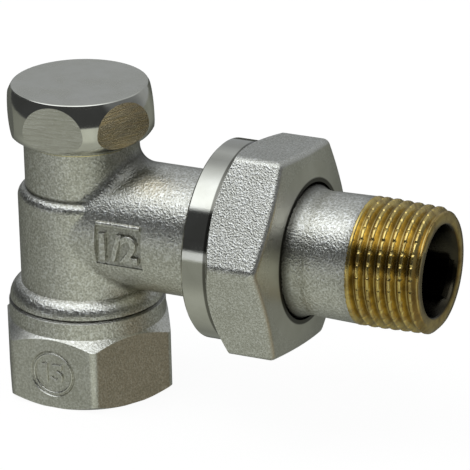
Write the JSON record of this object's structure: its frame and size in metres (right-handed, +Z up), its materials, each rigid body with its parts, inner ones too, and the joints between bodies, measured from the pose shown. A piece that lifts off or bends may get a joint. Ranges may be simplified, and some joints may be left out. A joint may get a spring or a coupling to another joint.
{
  "type": "manual radiator valve",
  "caption": "Angle lockshield radiator valve: forged plated body with a pipe socket below, a barrel screw cap over a rising spindle, and a side union with a threaded tail.",
  "frame": {"origin": "centre of the pipe socket's mouth", "axes": "+Z up the spindle towards the cap, +X along the branch towards the union tail"},
  "size_m": [0.0788, 0.0374, 0.0527],
  "materials": {
    "forged_nickel": "forged brass, blasted and nickel plated",
    "turned_nickel": "turned brass, nickel plated, satin",
    "bare_brass": "turned, bare",
    "spring_steel": "bright",
    "seal_rubber": "matt black"
  },
  "bodies": {
    "valve": {"valve_body": "forged_nickel", "headwork_bonnet": "bare_brass", "bonnet_o_ring": "seal_rubber", "stem_o_ring_lower": "seal_rubber", "stem_o_ring_upper": "seal_rubber"},
    "disc": {"disc_holder": "bare_brass", "disc_snap_ring": "spring_steel", "seat_washer": "seal_rubber", "washer_screw": "spring_steel"},
    "spindle": {"regulating_spindle": "bare_brass"},
    "cap_seal": {"cap_gasket": "seal_rubber"},
    "cap": {"lockshield_cap": "turned_nickel"},
    "tail": {"union_tail": "forged_nickel", "union_o_ring": "seal_rubber"},
    "nut": {"union_nut": "forged_nickel"}
  },
  "joints": [
    {"name": "disc_lift", "type": "slide", "parent": "valve", "child": "disc", "axis": [0, 0, 1], "range_m": [0, 0.003]},
    {"name": "spindle_turn", "type": "hinge", "parent": "disc", "child": "spindle", "pos_m": [0, 0, 0.0292], "axis": [0, 0, 1], "range_deg": [0, 1080]},
    {"name": "cap_lift", "type": "slide", "parent": "valve", "child": "cap_seal", "axis": [0, 0, 1], "range_m": [0, 0.006]},
    {"name": "cap_turn", "type": "hinge", "parent": "cap_seal", "child": "cap", "pos_m": [0, 0, 0.048], "axis": [0, 0, 1], "range_deg": [0, 1440]},
    {"name": "tail_out", "type": "slide", "parent": "valve", "child": "tail", "axis": [1, 0, 0], "range_m": [0, 0.01088]},
    {"name": "nut_turn", "type": "hinge", "parent": "tail", "child": "nut", "pos_m": [0.033, 0, 0.0292], "axis": [1, 0, 0], "range_deg": [0, 2160]}
  ],
  "couplings": [
    {"joint": "spindle_turn", "follows": "disc_lift", "rad_per_m": 6283.2},
    {"joint": "cap_turn", "follows": "cap_lift", "rad_per_m": 4188.8},
    {"joint": "nut_turn", "follows": "tail_out", "rad_per_m": 3463.7}
  ]
}
